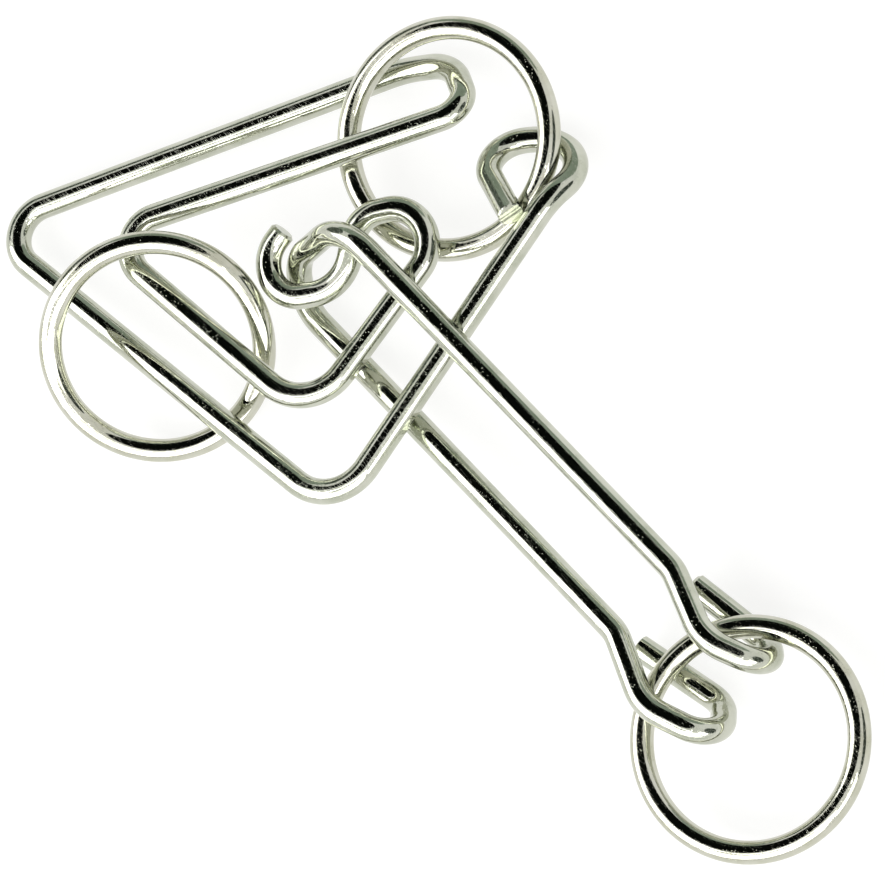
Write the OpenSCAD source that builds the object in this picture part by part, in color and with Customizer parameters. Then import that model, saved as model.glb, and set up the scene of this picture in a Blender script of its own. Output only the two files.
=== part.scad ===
// Wire and ring disentanglement puzzle: a bent wire frame, a long wire hairpin and three
// loose rings, all linked through one another. It lies flat on a table.
// +X runs along the hairpin toward the handle ring, +Z is up. Origin: bottom centre.

/* [Wire and rings] */

// Thickness of the wire of the frame and the hairpin
wire_d = 3.0;
// [2.6:0.1:3.2]

// Thickness of the wire of the three rings
ring_wire_d = 2.7;
// [2.3:0.1:2.9]

// Mean radius of the loose ring
loose_ring_r = 12.4;
// [12.0:0.1:12.8]

// Mean radius of the ring on the frame
frame_ring_r = 12.7;
// [12.4:0.1:12.9]

// Mean radius of the ring in the hooks
handle_ring_r = 12.6;
// [12.3:0.1:12.9]

// Tilt of the loose ring where it lies over the frame, in degrees
loose_ring_tilt = 30;
// [27:1:31]

// Tilt of the ring on the frame, in degrees
frame_ring_tilt = 7;
// [5:1:8]

// Tilt of the ring in the hooks, in degrees
handle_ring_tilt = 6;
// [4:1:8]

// How far the small hook's free end sticks out past its last corner
hook_end_len = 5.1;
// [4.6:0.1:6.0]

/* [Hidden] */

wire_r = wire_d / 2;
ring_wire_r = ring_wire_d / 2;
steel = [0.78, 0.79, 0.77];
round_fn = 48;

// Straights lap this far into the bends, which are a hair thinner, so they join cleanly
lap = 0.1;
hair = 0.02;

// Each corner of a wire is x, y, z and the radius of the bend that rounds it.

// Outer corner of the small hook
hook_outer = [-33.6, -5.8, 6.0, 4.0];
// Lowest corner of the small hook
hook_floor = [-27.7, -5.9, 6.7, 4.1];
// Shoulder where the hook meets the inner loop
hook_shoulder = [-23.2, -0.5, 6.5, 5.6];
// Inner loop, left corner
inner_loop_left = [-27.3, 6.8, 8.0, 4.1];
// Inner loop, top corner
inner_loop_top = [-23.1, 12.5, 7.6, 4.1];
// Inner loop, right corner
inner_loop_right = [-17.8, 9.9, 7.0, 4.4];
// Inner triangle, bottom corner
inner_bottom = [-15.3, -13.6, 7.7, 6.2];
// Inner triangle, left corner
inner_left = [-50.0, -16.2, 9.0, 3.8];
// U-bend, inner corner
turn_inner = [-26.0, 24.5, 7.2, 2.8];
// U-bend, outer corner
turn_outer = [-33.2, 26.3, 2.9, 5.5];
// Slight bow into the long outer bar
outer_bow = [-37.8, 21.6, 1.8, 12.6];
// Outer triangle, left corner
outer_left = [-65.0, -26.4, 2.3, 4.0];
// Outer triangle, bottom corner
outer_bottom = [-5.1, -19.2, 7.5, 6.3];
// Kink below the eye
outer_shoulder = [-11.2, 23.4, 7.1, 6.9];
// Eye, right corner
eye_right = [-11.9, 29.4, 3.2, 4.6];
// Eye, top corner
eye_top = [-18.7, 27.8, 1.7, 6.3];
// Eye, left corner
eye_left = [-24.1, 21.2, 3.2, 3.9];
// Cut end that closes the eye
eye_end = [-12.7, 19.5, 8.7, 0.0];

// Cut end of tail A
tail_a_end = [31.5, 3.5, 3.3, 0.0];
// Turn from hook A into its tail
hook_a_return = [42.4, 4.5, 1.2, 3.4];
// Front of hook A
hook_a_front = [46.6, 3.5, 6.4, 3.1];
// Crook of hook A
hook_a_knee = [39.1, 0.9, 9.2, 6.0];
// Knee where leg A dips to its hook
leg_a_knee = [30.5, 3.9, 8.2, 5.3];
// Bend, high corner on leg A
bend_high = [-26.3, 5.6, 12.7, 7.0];
// Bend, low corner on leg B
bend_low = [-33.3, -6.1, 0.7, 5.2];
// Knee where leg B rises to its hook
leg_b_knee = [30.4, -5.7, 8.2, 5.1];
// Crook of hook B
hook_b_knee = [39.0, -9.2, 9.1, 6.0];
// Front of hook B
hook_b_front = [48.5, -6.3, 7.4, 3.3];
// Turn from hook B into its tail
hook_b_return = [43.2, -3.9, 1.5, 3.3];
// Cut end of tail B
tail_b_end = [31.4, -6.0, 2.5, 0.0];

// The small hook's free end: it leaves its last corner in this direction
hook_end_way = [-0.039, 0.996, 0.078];
hook_end = [
    hook_outer[0] + hook_end_len * hook_end_way[0],
    hook_outer[1] + hook_end_len * hook_end_way[1],
    hook_outer[2] + hook_end_len * hook_end_way[2],
    0
];

frame_chain = [
    hook_end, hook_outer, hook_floor, hook_shoulder,
    inner_loop_left, inner_loop_top, inner_loop_right,
    inner_bottom, inner_left, turn_inner, turn_outer, outer_bow,
    outer_left, outer_bottom, outer_shoulder,
    eye_right, eye_top, eye_left, eye_end
];

hairpin_chain = [
    tail_a_end, hook_a_return, hook_a_front, hook_a_knee, leg_a_knee,
    bend_high, bend_low,
    leg_b_knee, hook_b_knee, hook_b_front, hook_b_return, tail_b_end
];

// Centres of the rings and the compass direction in which each one rises
loose_ring_c = [-35.7, -20.5, 7.5];
loose_ring_rise = 166;
frame_ring_c = [-26.4, 20.1, 5.1];
frame_ring_rise = 110;
handle_ring_c = [49.3, -4.1, 4.2];
handle_ring_rise = -170;

function pt(c) = [c[0], c[1], c[2]];
function unit(v) = v / norm(v);
function way(c, i) = unit(pt(c[i + 1]) - pt(c[i]));
function turn(c, i) = acos(max(-1, min(1, way(c, i - 1) * way(c, i))));
function setback(c, i) = (i == 0 || i == len(c) - 1) ? 0 : c[i][3] * tan(turn(c, i) / 2);
function leave(c, i) = pt(c[i]) + way(c, i) * setback(c, i);
function arrive(c, i) = pt(c[i + 1]) - way(c, i) * setback(c, i + 1);

// Round rod from a to b
module rod(a, b, r) {
    v = b - a;
    yaw = atan2(v[1], v[0]);
    pitch = acos(v[2] / norm(v));
    translate(a)
        rotate([0, pitch, yaw])
            cylinder(h = norm(v), r = r, $fn = round_fn);
}

// Bend of wire at corner i: a piece of a torus between the two straights
module bend(c, i, r) {
    d1 = way(c, i - 1);
    z = unit(cross(d1, way(c, i)));
    x = -cross(z, d1);
    start = pt(c[i]) - d1 * setback(c, i);
    o = start - x * c[i][3];
    multmatrix([
        [x[0], d1[0], z[0], o[0]],
        [x[1], d1[1], z[1], o[1]],
        [x[2], d1[2], z[2], o[2]],
        [0, 0, 0, 1]
    ])
        rotate_extrude(angle = turn(c, i), $fn = round_fn)
            translate([c[i][3], 0])
                circle(r = r, $fn = round_fn);
}

// Whole wire: straights joined by bends
module wire(c, r) {
    for (i = [0 : len(c) - 2])
        rod(
            leave(c, i) - way(c, i) * (i == 0 ? 0 : lap),
            arrive(c, i) + way(c, i) * (i == len(c) - 2 ? 0 : lap),
            r
        );
    for (i = [1 : len(c) - 2])
        bend(c, i, r - hair);
}

// Closed ring of round wire, rising by tilt degrees toward the compass direction rise
module ring(centre, mean_r, r, tilt, rise) {
    translate(centre)
        rotate([0, 0, rise])
            rotate([0, -tilt, 0])
                rotate_extrude($fn = 96)
                    translate([mean_r, 0])
                        circle(r = r, $fn = round_fn);
}

module bent_frame() {
    color(steel)
        wire(frame_chain, wire_r);
}

module hairpin() {
    color(steel)
        wire(hairpin_chain, wire_r);
}

module loose_ring() {
    color(steel)
        ring(loose_ring_c, loose_ring_r, ring_wire_r, loose_ring_tilt, loose_ring_rise);
}

module frame_ring() {
    color(steel)
        ring(frame_ring_c, frame_ring_r, ring_wire_r, frame_ring_tilt, frame_ring_rise);
}

module handle_ring() {
    color(steel)
        ring(handle_ring_c, handle_ring_r, ring_wire_r, handle_ring_tilt, handle_ring_rise);
}

bent_frame();
hairpin();
loose_ring();
frame_ring();
handle_ring();
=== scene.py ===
# %% [markdown]
# # Wire and ring disentanglement puzzle
# Two bent wires and three closed rings, all of bright nickel-plated steel, linked together and
# lying flat on a table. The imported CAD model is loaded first: it fixes every size and place, and
# each piece below is modelled again in the same place, finely enough for a mirror finish.

# %%
import math
import bpy
from mathutils import Matrix, Vector


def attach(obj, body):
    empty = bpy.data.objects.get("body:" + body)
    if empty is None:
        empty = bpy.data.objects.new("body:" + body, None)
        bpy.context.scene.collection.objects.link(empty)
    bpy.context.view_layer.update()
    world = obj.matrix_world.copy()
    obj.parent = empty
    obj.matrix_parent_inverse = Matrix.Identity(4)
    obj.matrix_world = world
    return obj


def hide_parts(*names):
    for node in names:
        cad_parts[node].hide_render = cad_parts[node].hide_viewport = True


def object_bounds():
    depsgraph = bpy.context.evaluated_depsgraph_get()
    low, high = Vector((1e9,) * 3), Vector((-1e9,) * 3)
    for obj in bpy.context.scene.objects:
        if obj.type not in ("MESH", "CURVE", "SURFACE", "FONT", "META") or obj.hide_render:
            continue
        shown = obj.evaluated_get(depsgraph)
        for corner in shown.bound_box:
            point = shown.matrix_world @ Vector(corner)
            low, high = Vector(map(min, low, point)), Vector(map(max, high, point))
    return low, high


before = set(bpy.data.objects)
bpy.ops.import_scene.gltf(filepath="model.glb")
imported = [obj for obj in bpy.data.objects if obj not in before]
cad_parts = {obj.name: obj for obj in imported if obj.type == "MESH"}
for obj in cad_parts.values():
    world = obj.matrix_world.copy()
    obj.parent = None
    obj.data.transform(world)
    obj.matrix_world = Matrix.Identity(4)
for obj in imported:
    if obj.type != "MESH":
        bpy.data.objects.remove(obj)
cad_low, cad_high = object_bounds()
MM = 0.001
print("CAD box in mm:", [round(v / MM, 1) for v in cad_low], [round(v / MM, 1) for v in cad_high])

# %% [markdown]
# ## Camera
# The puzzle is seen from high above its hooks, almost a metre away, so a long lens is used. The
# three directions right, up and toward are worked out from two angles and a roll, because the
# same directions place the lamps and cards later.

# %%
AIM = Vector((-2.3, -5.5, 4.0)) * MM
DISTANCE = 1.0
CAMERA_HEADING = math.radians(22.3)
CAMERA_HEIGHT = math.radians(65.0)
CAMERA_ROLL = math.radians(-21.0)
SENSOR = 36.0
WIDTH_AT_AIM = 0.101

out = Vector((math.cos(CAMERA_HEADING), math.sin(CAMERA_HEADING), 0))
across = Vector((-math.sin(CAMERA_HEADING), math.cos(CAMERA_HEADING), 0))
toward = math.cos(CAMERA_HEIGHT) * out + Vector((0, 0, math.sin(CAMERA_HEIGHT)))
inward = math.sin(CAMERA_HEIGHT) * out - Vector((0, 0, math.cos(CAMERA_HEIGHT)))
right = math.cos(CAMERA_ROLL) * inward - math.sin(CAMERA_ROLL) * across
up = math.sin(CAMERA_ROLL) * inward + math.cos(CAMERA_ROLL) * across

bpy.ops.object.camera_add(location=AIM + DISTANCE * toward)
camera = bpy.context.object
camera.rotation_euler = Matrix((right, up, toward)).transposed().to_euler()
camera.data.sensor_width = SENSOR
camera.data.lens = SENSOR * DISTANCE / WIDTH_AT_AIM
camera.data.clip_start = 0.01
bpy.context.scene.camera = camera
print("camera lens in mm:", round(camera.data.lens, 1))

# %% [markdown]
# ## Floor
# A plain pale sheet. It glows a little for the camera and for mirrors, so it comes out white,
# and its matt part still takes the soft shadow of the wires. A sheet of paper lit from all sides
# looks the same.

# %%
bpy.context.scene.view_settings.view_transform = "Standard"


def light_path_sum(nodes, links):
    """1 for what the camera, a mirror or a glass surface sees, 0 for what lights matt surfaces."""
    path = nodes.new("ShaderNodeLightPath")
    total = path.outputs["Is Camera Ray"]
    for other in ("Is Glossy Ray", "Is Transmission Ray"):
        add = nodes.new("ShaderNodeMath")
        add.operation = "ADD"
        add.use_clamp = True
        links.new(total, add.inputs[0])
        links.new(path.outputs[other], add.inputs[1])
        total = add.outputs[0]
    return total


def floor_material():
    material = bpy.data.materials.new("floor_paper")
    material.use_nodes = True
    nodes = material.node_tree.nodes
    links = material.node_tree.links
    nodes.clear()
    matt = nodes.new("ShaderNodeBsdfDiffuse")
    matt.inputs["Color"].default_value = (0.24, 0.24, 0.24, 1)
    glow = nodes.new("ShaderNodeEmission")
    glow.inputs["Color"].default_value = (0.84, 0.84, 0.83, 1)
    links.new(light_path_sum(nodes, links), glow.inputs["Strength"])
    both = nodes.new("ShaderNodeAddShader")
    links.new(matt.outputs[0], both.inputs[0])
    links.new(glow.outputs[0], both.inputs[1])
    end = nodes.new("ShaderNodeOutputMaterial")
    links.new(both.outputs[0], end.inputs["Surface"])
    return material


bpy.ops.mesh.primitive_plane_add(size=12, location=(0, 0, cad_low[2]))
floor = bpy.context.object
floor.name = "floor"
floor.data.materials.append(floor_material())
print("floor at", round(cad_low[2] / MM, 2), "mm")

# %% [markdown]
# ## World
# White for the camera and in reflections, as a white tent round the table would be, and a plain
# even light for everything else.

# %%
world = bpy.data.worlds.new("tent")
world.use_nodes = True
bpy.context.scene.world = world
world_nodes = world.node_tree.nodes
world_links = world.node_tree.links
background = world_nodes["Background"]
background.inputs["Color"].default_value = (1, 1, 1, 1)
strength = world_nodes.new("ShaderNodeMapRange")
strength.inputs["To Min"].default_value = 0.25
strength.inputs["To Max"].default_value = 1.0
world_links.new(light_path_sum(world_nodes, world_links), strength.inputs["Value"])
world_links.new(strength.outputs["Result"], background.inputs["Strength"])
print("world strength for matt surfaces:", strength.inputs["To Min"].default_value)

# %% [markdown]
# ## Lamps and cards
# Bright metal is drawn by what it reflects. One wide softbox gives the white bands, a small lamp
# gives the sparks, and dark cards, which only reflections see, give the black core of each wire
# and its grey-green sides. A photographer of cutlery hangs black card in a white tent like this.

# %%
def around(lift, side=0.0):
    """Direction that is lift degrees from the camera toward the top of the view."""
    lift = math.radians(lift)
    side = math.radians(side)
    flat = math.cos(lift) * toward + math.sin(lift) * up
    return (math.cos(side) * flat + math.sin(side) * right).normalized()


def bearing(heading, height):
    """Direction given by its heading from +X toward +Y and its height above the floor."""
    heading = math.radians(heading)
    height = math.radians(height)
    flat = Vector((math.cos(heading), math.sin(heading), 0)) * math.cos(height)
    return flat + Vector((0, 0, math.sin(height)))


def softbox(name, direction, distance, width, height, power):
    bpy.ops.object.light_add(type="AREA", location=AIM + direction * distance)
    lamp = bpy.context.object
    lamp.name = name
    lamp.rotation_euler = direction.to_track_quat("Z", "Y").to_euler()
    lamp.data.shape = "RECTANGLE"
    lamp.data.size = width
    lamp.data.size_y = height
    lamp.data.energy = power
    return lamp


def card(name, direction, distance, size, colour, squash=1.0):
    bpy.ops.mesh.primitive_circle_add(
        vertices=48, radius=size / 2, fill_type="NGON",
        location=AIM + direction * distance,
        rotation=direction.to_track_quat("Z", "Y").to_euler(),
    )
    piece = bpy.context.object
    piece.name = name
    piece.scale = (1, squash, 1)
    material = bpy.data.materials.new(name)
    material.use_nodes = True
    nodes = material.node_tree.nodes
    nodes.clear()
    glow = nodes.new("ShaderNodeEmission")
    glow.inputs["Color"].default_value = (*colour, 1)
    end = nodes.new("ShaderNodeOutputMaterial")
    material.node_tree.links.new(glow.outputs[0], end.inputs["Surface"])
    piece.data.materials.append(material)
    piece.visible_camera = False
    piece.visible_diffuse = False
    piece.visible_shadow = False
    return piece


softbox("key", bearing(-48, 36), 1.5, 2.0, 0.95, 20.0)
softbox("key_left", bearing(-117, 38), 1.5, 1.7, 1.0, 17.0)
softbox("key_right", bearing(8, 30), 1.5, 0.6, 0.6, 3.5)
softbox("spark", around(-7, 4), 1.05, 0.03, 0.03, 0.06)
softbox("spark_left", around(-14, -47), 1.05, 0.03, 0.03, 0.05)
softbox("strip", bearing(-60, 66), 1.35, 1.5, 0.11, 2.0)
card("ceiling_card", bearing(130, 67), 1.45, 2.1, (0.004, 0.005, 0.004))
card("far_card", bearing(132, 20), 1.75, 2.8, (0.32, 0.38, 0.32), squash=0.40)
card("left_card", bearing(-172, 20), 1.75, 1.2, (0.10, 0.12, 0.10), squash=0.7)
card("right_card", bearing(42, 18), 1.75, 1.3, (0.07, 0.085, 0.075), squash=0.7)

# %% [markdown]
# ## Bright nickel plate
# Nickel over drawn steel wire: a mirror with a warm tint, fine streaks that run along the wire
# from the drawing die, pits where the plating took badly, and the scratches of much handling.
# The streaks use two attributes that the wires carry, which say how far along and how far round
# the wire a point lies, so they follow every bend.

# %%
def noise(nodes, links, source, scale, detail=3.0, rough=0.55, w=None):
    node = nodes.new("ShaderNodeTexNoise")
    if w is not None:
        node.noise_dimensions = "4D"
        links.new(w, node.inputs["W"])
    node.inputs["Scale"].default_value = scale
    node.inputs["Detail"].default_value = detail
    node.inputs["Roughness"].default_value = rough
    links.new(source, node.inputs["Vector"])
    return node.outputs["Fac"]


def ramp(nodes, links, value, low, high, to_low=0.0, to_high=1.0):
    node = nodes.new("ShaderNodeMapRange")
    node.interpolation_type = "SMOOTHSTEP"
    node.inputs["From Min"].default_value = low
    node.inputs["From Max"].default_value = high
    node.inputs["To Min"].default_value = to_low
    node.inputs["To Max"].default_value = to_high
    links.new(value, node.inputs["Value"])
    return node.outputs["Result"]


def math_node(nodes, links, operation, first, second):
    node = nodes.new("ShaderNodeMath")
    node.operation = operation
    for socket, value in zip(node.inputs, (first, second)):
        if isinstance(value, (int, float)):
            socket.default_value = value
        else:
            links.new(value, socket)
    return node.outputs[0]


def blend_colour(nodes, links, amount, first, second):
    node = nodes.new("ShaderNodeMix")
    node.data_type = "RGBA"
    links.new(amount, node.inputs["Factor"])
    for socket, value in ((node.inputs[6], first), (node.inputs[7], second)):
        if isinstance(value, tuple):
            socket.default_value = (*value, 1)
        else:
            links.new(value, socket)
    return node.outputs[2]


def bump(nodes, links, height, depth, normal=None):
    node = nodes.new("ShaderNodeBump")
    node.inputs["Distance"].default_value = depth
    node.inputs["Strength"].default_value = 1.0
    links.new(height, node.inputs["Height"])
    if normal is not None:
        links.new(normal, node.inputs["Normal"])
    return node.outputs["Normal"]


def nickel(name, bright, dull, wear):
    """bright and dull are the two tints of the plating, wear is how pitted it is."""
    material = bpy.data.materials.new(name)
    material.use_nodes = True
    nodes = material.node_tree.nodes
    links = material.node_tree.links
    shader = nodes["Principled BSDF"]
    shader.inputs["Metallic"].default_value = 1.0
    place = nodes.new("ShaderNodeTexCoord").outputs["Object"]
    along = nodes.new("ShaderNodeAttribute")
    along.attribute_name = "wire_at"
    turn = nodes.new("ShaderNodeAttribute")
    turn.attribute_name = "wire_w"

    streaks = noise(nodes, links, along.outputs["Vector"], 2.6, 5.0, 0.65, turn.outputs["Fac"])
    patches = noise(nodes, links, place, 260, 3.0)
    waves = noise(nodes, links, place, 150, 2.0, 0.4)

    cells = nodes.new("ShaderNodeTexVoronoi")
    cells.inputs["Scale"].default_value = 3600
    cells.inputs["Randomness"].default_value = 1.0
    links.new(place, cells.inputs["Vector"])
    dots = ramp(nodes, links, cells.outputs["Distance"], 0.08, 0.24, 1.0, 0.0)
    where = ramp(nodes, links, patches, 0.54 - 0.06 * wear, 0.68 - 0.06 * wear)
    pits = math_node(nodes, links, "MULTIPLY", dots, where)

    skewed = nodes.new("ShaderNodeMapping")
    skewed.inputs["Rotation"].default_value = (0.4, 0.3, 0.7)
    skewed.inputs["Scale"].default_value = (1.0, 14.0, 14.0)
    links.new(place, skewed.inputs["Vector"])
    lines = noise(nodes, links, skewed.outputs["Vector"], 190, 2.0, 0.5)
    off_half = math_node(nodes, links, "ABSOLUTE", math_node(nodes, links, "SUBTRACT", lines, 0.5), 0.0)
    scratches = ramp(nodes, links, off_half, 0.002, 0.012, 1.0, 0.0)

    tint = blend_colour(nodes, links, ramp(nodes, links, patches, 0.35, 0.7), bright, dull)
    shade = math_node(nodes, links, "MULTIPLY", pits, 0.55)
    links.new(blend_colour(nodes, links, shade, tint, (0.16, 0.16, 0.15)), shader.inputs["Base Color"])

    rough = ramp(nodes, links, streaks, 0.3, 0.75, 0.012, 0.045)
    rough = math_node(nodes, links, "ADD", rough, math_node(nodes, links, "MULTIPLY", pits, 0.10))
    rough = math_node(nodes, links, "ADD", rough, math_node(nodes, links, "MULTIPLY", scratches, 0.02))
    links.new(rough, shader.inputs["Roughness"])

    normal = bump(nodes, links, waves, 0.00005)
    normal = bump(nodes, links, streaks, 0.000004, normal)
    hollow = math_node(nodes, links, "ADD", pits, math_node(nodes, links, "MULTIPLY", scratches, 0.06))
    normal = bump(nodes, links, math_node(nodes, links, "MULTIPLY", hollow, -1.0), 0.00003, normal)
    links.new(normal, shader.inputs["Normal"])
    return material


wire_metal = nickel("wire_nickel", (0.56, 0.57, 0.49), (0.45, 0.47, 0.38), 1.0)
ring_metal = nickel("ring_nickel", (0.58, 0.58, 0.50), (0.49, 0.49, 0.39), 0.6)
print("materials:", wire_metal.name, ring_metal.name)

# %% [markdown]
# ## Drawing a wire
# A wire starts as a circle across its first straight. Each straight pushes the circle on with
# an extrude, and each bend turns it round the bend's centre with a spin, as a wire bender does.
# Both cut ends get a small sheared edge before they are filled.

# %%
SIDES = 64
BEND_STEP = math.radians(4)


def start_circle(name, centre, direction, radius):
    bpy.ops.object.select_all(action="DESELECT")
    bpy.ops.mesh.primitive_circle_add(
        vertices=SIDES, radius=radius, fill_type="NOTHING", location=centre,
        rotation=direction.to_track_quat("Z", "Y").to_euler(),
    )
    piece = bpy.context.object
    piece.name = name
    bpy.ops.object.transform_apply(location=True, rotation=True, scale=True)
    bpy.ops.object.mode_set(mode="EDIT")
    bpy.ops.mesh.select_all(action="SELECT")
    return piece


def push(step):
    bpy.ops.mesh.extrude_edges_move(TRANSFORM_OT_translate={"value": step})


def swell(factor, centre):
    bpy.ops.transform.resize(value=(factor, factor, factor), center_override=centre)


def turn_round(centre, axis, angle):
    steps = max(3, round(angle / BEND_STEP))
    bpy.ops.mesh.spin(steps=steps, dupli=False, angle=-angle, center=centre, axis=axis)


def draw_wire(name, corners, radius, start_lip, end_lip):
    """corners are (x, y, z, bend radius) in mm; the lips are the widths of the two cut edges."""
    points = [Vector(c[:3]) * MM for c in corners]
    ways = [(b - a).normalized() for a, b in zip(points, points[1:])]
    piece = start_circle(name, points[0], ways[0], radius - start_lip)
    at = points[0].copy()
    push(ways[0] * start_lip)
    at += ways[0] * start_lip
    swell(radius / (radius - start_lip), at)
    for i in range(1, len(points) - 1):
        before, after = ways[i - 1], ways[i]
        angle = before.angle(after)
        bend = corners[i][3] * MM
        straight_end = points[i] - before * bend * math.tan(angle / 2)
        if (straight_end - at).length > 0.00002:
            push(straight_end - at)
        axis = before.cross(after).normalized()
        centre = straight_end + axis.cross(before) * bend
        turn_round(centre, axis, angle)
        at = points[i] + after * bend * math.tan(angle / 2)
    push(points[-1] - ways[-1] * end_lip - at)
    push(ways[-1] * end_lip)
    swell((radius - end_lip) / radius, points[-1])
    bpy.ops.mesh.select_all(action="SELECT")
    bpy.ops.mesh.fill_holes(sides=0)
    bpy.ops.mesh.select_all(action="SELECT")
    bpy.ops.mesh.normals_make_consistent(inside=False)
    bpy.ops.object.mode_set(mode="OBJECT")
    note_place_on_wire(piece, closed=False)
    return piece


def note_place_on_wire(piece, closed):
    """Two attributes in mm for the streaks: round the wire in x and y, and along it in z and w."""
    mesh = piece.data
    count = len(mesh.vertices) // SIDES
    centres = [
        sum((mesh.vertices[k * SIDES + i].co for i in range(SIDES)), Vector()) / SIDES
        for k in range(count)
    ]
    stretch = 0.05
    length = 0.0
    total = sum((b - a).length for a, b in zip(centres, centres[1:])) * (count / (count - 1))
    mesh.attributes.new("wire_at", "FLOAT_VECTOR", "POINT")
    mesh.attributes.new("wire_w", "FLOAT", "POINT")
    spot = mesh.attributes["wire_at"]
    fourth = mesh.attributes["wire_w"]
    for k, centre in enumerate(centres):
        if k:
            length += (centre - centres[k - 1]).length
        turn = 2 * math.pi * length / total
        reach = total / (2 * math.pi)
        z = reach * math.cos(turn) if closed else length
        w = reach * math.sin(turn) if closed else 0.0
        for i in range(SIDES):
            vertex = mesh.vertices[k * SIDES + i]
            out_by = (vertex.co - centre).length
            angle = 2 * math.pi * i / SIDES
            x = out_by * math.cos(angle)
            y = out_by * math.sin(angle)
            spot.data[vertex.index].vector = (x / MM, y / MM, z * stretch / MM)
            fourth.data[vertex.index].value = w * stretch / MM


def finish_piece(piece, metal, body):
    piece.data.materials.append(metal)
    bpy.ops.object.select_all(action="DESELECT")
    piece.select_set(True)
    bpy.context.view_layer.objects.active = piece
    bpy.ops.object.shade_smooth_by_angle(angle=math.radians(30))
    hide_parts(body)
    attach(piece, body)
    print(piece.name, "faces:", len(piece.data.polygons))


# %% [markdown]
# ## Bent frame
# One wire runs the whole way: from a small open hook, round the inner loop, back along the long
# U-bend, round the outer loop and into a small eye. Its corners are the places where the bender
# held it, each with the radius of the peg it was bent round.

# %%
WIRE_RADIUS = 1.5 * MM
FRAME_CORNERS = [
    (-33.8, -0.7, 6.4, 0.0),  # hook end
    (-33.6, -5.8, 6.0, 4.0),  # hook outer corner
    (-27.7, -5.9, 6.7, 4.1),  # hook lowest corner
    (-23.2, -0.5, 6.5, 5.6),  # hook shoulder
    (-27.3, 6.8, 8.0, 4.1),  # inner loop left
    (-23.1, 12.5, 7.6, 4.1),  # inner loop top
    (-17.8, 9.9, 7.0, 4.4),  # inner loop right
    (-15.3, -13.6, 7.7, 6.2),  # inner bottom corner
    (-50.0, -16.2, 9.0, 3.8),  # inner left corner
    (-26.0, 24.5, 7.2, 2.8),  # U-bend inner corner
    (-33.2, 26.3, 2.9, 5.5),  # U-bend outer corner
    (-37.8, 21.6, 1.8, 12.6),  # bow into the outer bar
    (-65.0, -26.4, 2.3, 4.0),  # outer left corner
    (-5.1, -19.2, 7.5, 6.3),  # outer bottom corner
    (-11.2, 23.4, 7.1, 6.9),  # kink below the eye
    (-11.9, 29.4, 3.2, 4.6),  # eye right
    (-18.7, 27.8, 1.7, 6.3),  # eye top
    (-24.1, 21.2, 3.2, 3.9),  # eye left
    (-12.7, 19.5, 8.7, 0.0),  # cut end of the eye
]
bent_frame = draw_wire("bent_frame_wire", FRAME_CORNERS, WIRE_RADIUS, 0.30 * MM, 0.12 * MM)
finish_piece(bent_frame, wire_metal, "bent_frame")

# %% [markdown]
# ## Hairpin
# A long narrow loop with a hook at the end of each leg. Each hook turns back under its leg,
# which keeps the handle ring in, and its tail ends in a plain cut.

# %%
HAIRPIN_CORNERS = [
    (31.5, 3.5, 3.3, 0.0),  # cut end of tail A
    (42.4, 4.5, 1.2, 3.4),  # turn of hook A
    (46.6, 3.5, 6.4, 3.1),  # front of hook A
    (39.1, 0.9, 9.2, 6.0),  # crook of hook A
    (30.5, 3.9, 8.2, 5.3),  # knee of leg A
    (-26.3, 5.6, 12.7, 7.0),  # high corner of the bend
    (-33.3, -6.1, 0.7, 5.2),  # low corner of the bend
    (30.4, -5.7, 8.2, 5.1),  # knee of leg B
    (39.0, -9.2, 9.1, 6.0),  # crook of hook B
    (48.5, -6.3, 7.4, 3.3),  # front of hook B
    (43.2, -3.9, 1.5, 3.3),  # turn of hook B
    (31.4, -6.0, 2.5, 0.0),  # cut end of tail B
]
hairpin = draw_wire("hairpin_wire", HAIRPIN_CORNERS, WIRE_RADIUS, 0.35 * MM, 0.10 * MM)
finish_piece(hairpin, wire_metal, "hairpin")

# %% [markdown]
# ## Rings
# Three closed rings of thinner wire. Each is a circle spun once round its centre, then tipped to
# the slope at which it rests on the wires. Real ones are cut from a coil and butt welded.

# %%
RING_WIRE_RADIUS = 1.35 * MM
RINGS = {
    "loose_ring": ((-35.7, -20.5, 7.5), 12.4, 30, 166),
    "frame_ring": ((-26.4, 20.1, 5.1), 12.7, 7, 110),
    "handle_ring": ((49.3, -4.1, 4.2), 12.6, 6, -170),
}


def draw_ring(name, centre, mean_radius, tilt, rise):
    middle = Vector(centre) * MM
    tip = Matrix.Rotation(math.radians(rise), 3, "Z") @ Matrix.Rotation(math.radians(-tilt), 3, "Y")
    axis = tip @ Vector((0, 0, 1))
    reach = tip @ Vector((mean_radius * MM, 0, 0))
    piece = start_circle(name, middle + reach, axis.cross(reach).normalized(), RING_WIRE_RADIUS)
    bpy.ops.mesh.spin(steps=180, dupli=False, angle=-2 * math.pi, center=middle, axis=axis)
    bpy.ops.mesh.select_all(action="SELECT")
    bpy.ops.mesh.remove_doubles(threshold=0.000001)
    bpy.ops.mesh.normals_make_consistent(inside=False)
    bpy.ops.object.mode_set(mode="OBJECT")
    note_place_on_wire(piece, closed=True)
    return piece


for ring_name, values in RINGS.items():
    ring = draw_ring(ring_name + "_wire", *values)
    finish_piece(ring, ring_metal, ring_name)
